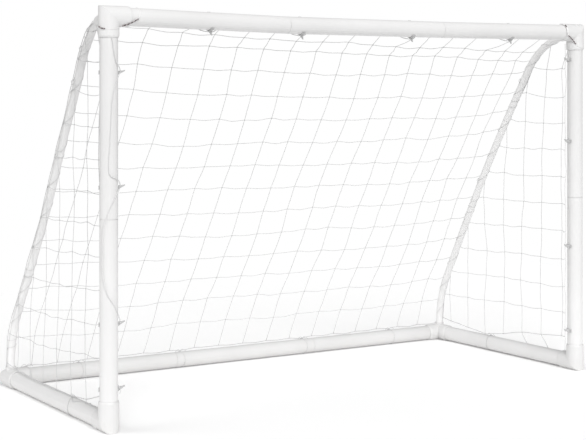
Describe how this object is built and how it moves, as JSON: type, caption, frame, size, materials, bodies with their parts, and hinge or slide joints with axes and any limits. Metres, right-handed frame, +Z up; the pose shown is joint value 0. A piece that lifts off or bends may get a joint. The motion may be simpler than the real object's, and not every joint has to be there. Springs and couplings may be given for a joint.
{
  "type": "soccer goal",
  "caption": "Small garden soccer goal: a push-fit white plastic tube frame with curved back stays, corner fittings, net clips and a square-mesh net.",
  "frame": {"origin": "on the ground, at the middle of the goal's footprint", "axes": "+Z is up, +X runs along the crossbar towards the right-hand post as seen from the front, and +Y runs from the mouth into the goal, so the mouth faces -Y"},
  "size_m": [1.8316, 0.8279, 1.2048],
  "materials": {
    "tube_plastic": "satin",
    "fitting_plastic": "satin",
    "sleeve_plastic": "matte",
    "clip_plastic": "satin",
    "net_cord": "matte",
    "tie_cord": "matte"
  },
  "bodies": {
    "frame": {"back_net": "net_cord", "corner_tie_left": "tie_cord", "corner_tie_right": "tie_cord", "crossbar_left": "tube_plastic", "crossbar_middle": "tube_plastic", "crossbar_right": "tube_plastic", "crossbar_sleeve_left": "sleeve_plastic", "crossbar_sleeve_right": "sleeve_plastic", "front_base_corner_left": "fitting_plastic", "front_base_corner_right": "fitting_plastic", "left_post_lower": "tube_plastic", "left_post_sleeve": "sleeve_plastic", "left_post_upper": "tube_plastic", "left_side_bar": "tube_plastic", "left_side_net": "net_cord", "left_stay_foot": "tube_plastic", "left_stay_middle": "tube_plastic", "left_stay_sleeve_lower": "sleeve_plastic", "left_stay_sleeve_upper": "sleeve_plastic", "left_stay_top": "tube_plastic", "rear_bar_left": "tube_plastic", "rear_bar_middle": "tube_plastic", "rear_bar_right": "tube_plastic", "rear_bar_sleeve_left": "sleeve_plastic", "rear_bar_sleeve_right": "sleeve_plastic", "rear_base_corner_left": "fitting_plastic", "rear_base_corner_right": "fitting_plastic", "right_post_lower": "tube_plastic", "right_post_sleeve": "sleeve_plastic", "right_post_upper": "tube_plastic", "right_side_bar": "tube_plastic", "right_side_net": "net_cord", "right_stay_foot": "tube_plastic", "right_stay_middle": "tube_plastic", "right_stay_sleeve_lower": "sleeve_plastic", "right_stay_sleeve_upper": "sleeve_plastic", "right_stay_top": "tube_plastic", "top_corner_left": "fitting_plastic", "top_corner_right": "fitting_plastic"},
    "left_post_clip_1": {"left_post_clip_1": "clip_plastic"},
    "left_post_clip_2": {"left_post_clip_2": "clip_plastic"},
    "left_post_clip_3": {"left_post_clip_3": "clip_plastic"},
    "left_post_clip_4": {"left_post_clip_4": "clip_plastic"},
    "right_post_clip_1": {"right_post_clip_1": "clip_plastic"},
    "right_post_clip_2": {"right_post_clip_2": "clip_plastic"},
    "right_post_clip_3": {"right_post_clip_3": "clip_plastic"},
    "right_post_clip_4": {"right_post_clip_4": "clip_plastic"},
    "crossbar_clip_1": {"crossbar_clip_1": "clip_plastic"},
    "crossbar_clip_2": {"crossbar_clip_2": "clip_plastic"},
    "crossbar_clip_3": {"crossbar_clip_3": "clip_plastic"},
    "crossbar_clip_4": {"crossbar_clip_4": "clip_plastic"}
  },
  "joints": [
    {"name": "left_post_clip_1_turn", "type": "hinge", "parent": "frame", "child": "left_post_clip_1", "pos_m": [-0.88375, -0.38175, 0.12], "axis": [0, 0, 1], "range_deg": [-25, 25]},
    {"name": "left_post_clip_2_turn", "type": "hinge", "parent": "frame", "child": "left_post_clip_2", "pos_m": [-0.88375, -0.38175, 0.303], "axis": [0, 0, 1], "range_deg": [-25, 25]},
    {"name": "left_post_clip_3_turn", "type": "hinge", "parent": "frame", "child": "left_post_clip_3", "pos_m": [-0.88375, -0.38175, 0.688], "axis": [0, 0, 1], "range_deg": [-25, 25]},
    {"name": "left_post_clip_4_turn", "type": "hinge", "parent": "frame", "child": "left_post_clip_4", "pos_m": [-0.88375, -0.38175, 1.012], "axis": [0, 0, 1], "range_deg": [-25, 25]},
    {"name": "right_post_clip_1_turn", "type": "hinge", "parent": "frame", "child": "right_post_clip_1", "pos_m": [0.88375, -0.38175, 0.137], "axis": [0, 0, 1], "range_deg": [-25, 25]},
    {"name": "right_post_clip_2_turn", "type": "hinge", "parent": "frame", "child": "right_post_clip_2", "pos_m": [0.88375, -0.38175, 0.43], "axis": [0, 0, 1], "range_deg": [-25, 25]},
    {"name": "right_post_clip_3_turn", "type": "hinge", "parent": "frame", "child": "right_post_clip_3", "pos_m": [0.88375, -0.38175, 0.794], "axis": [0, 0, 1], "range_deg": [-25, 25]},
    {"name": "right_post_clip_4_turn", "type": "hinge", "parent": "frame", "child": "right_post_clip_4", "pos_m": [0.88375, -0.38175, 1.076], "axis": [0, 0, 1], "range_deg": [-25, 25]},
    {"name": "crossbar_clip_1_turn", "type": "hinge", "parent": "frame", "child": "crossbar_clip_1", "pos_m": [-0.56, -0.38175, 1.16644], "axis": [1, 0, 0], "range_deg": [-25, 25]},
    {"name": "crossbar_clip_2_turn", "type": "hinge", "parent": "frame", "child": "crossbar_clip_2", "pos_m": [-0.243, -0.38175, 1.16268], "axis": [1, 0, 0], "range_deg": [-25, 25]},
    {"name": "crossbar_clip_3_turn", "type": "hinge", "parent": "frame", "child": "crossbar_clip_3", "pos_m": [0.174, -0.38175, 1.16409], "axis": [1, 0, 0], "range_deg": [-25, 25]},
    {"name": "crossbar_clip_4_turn", "type": "hinge", "parent": "frame", "child": "crossbar_clip_4", "pos_m": [0.588, -0.38175, 1.16777], "axis": [1, 0, 0], "range_deg": [-25, 25]}
  ]
}
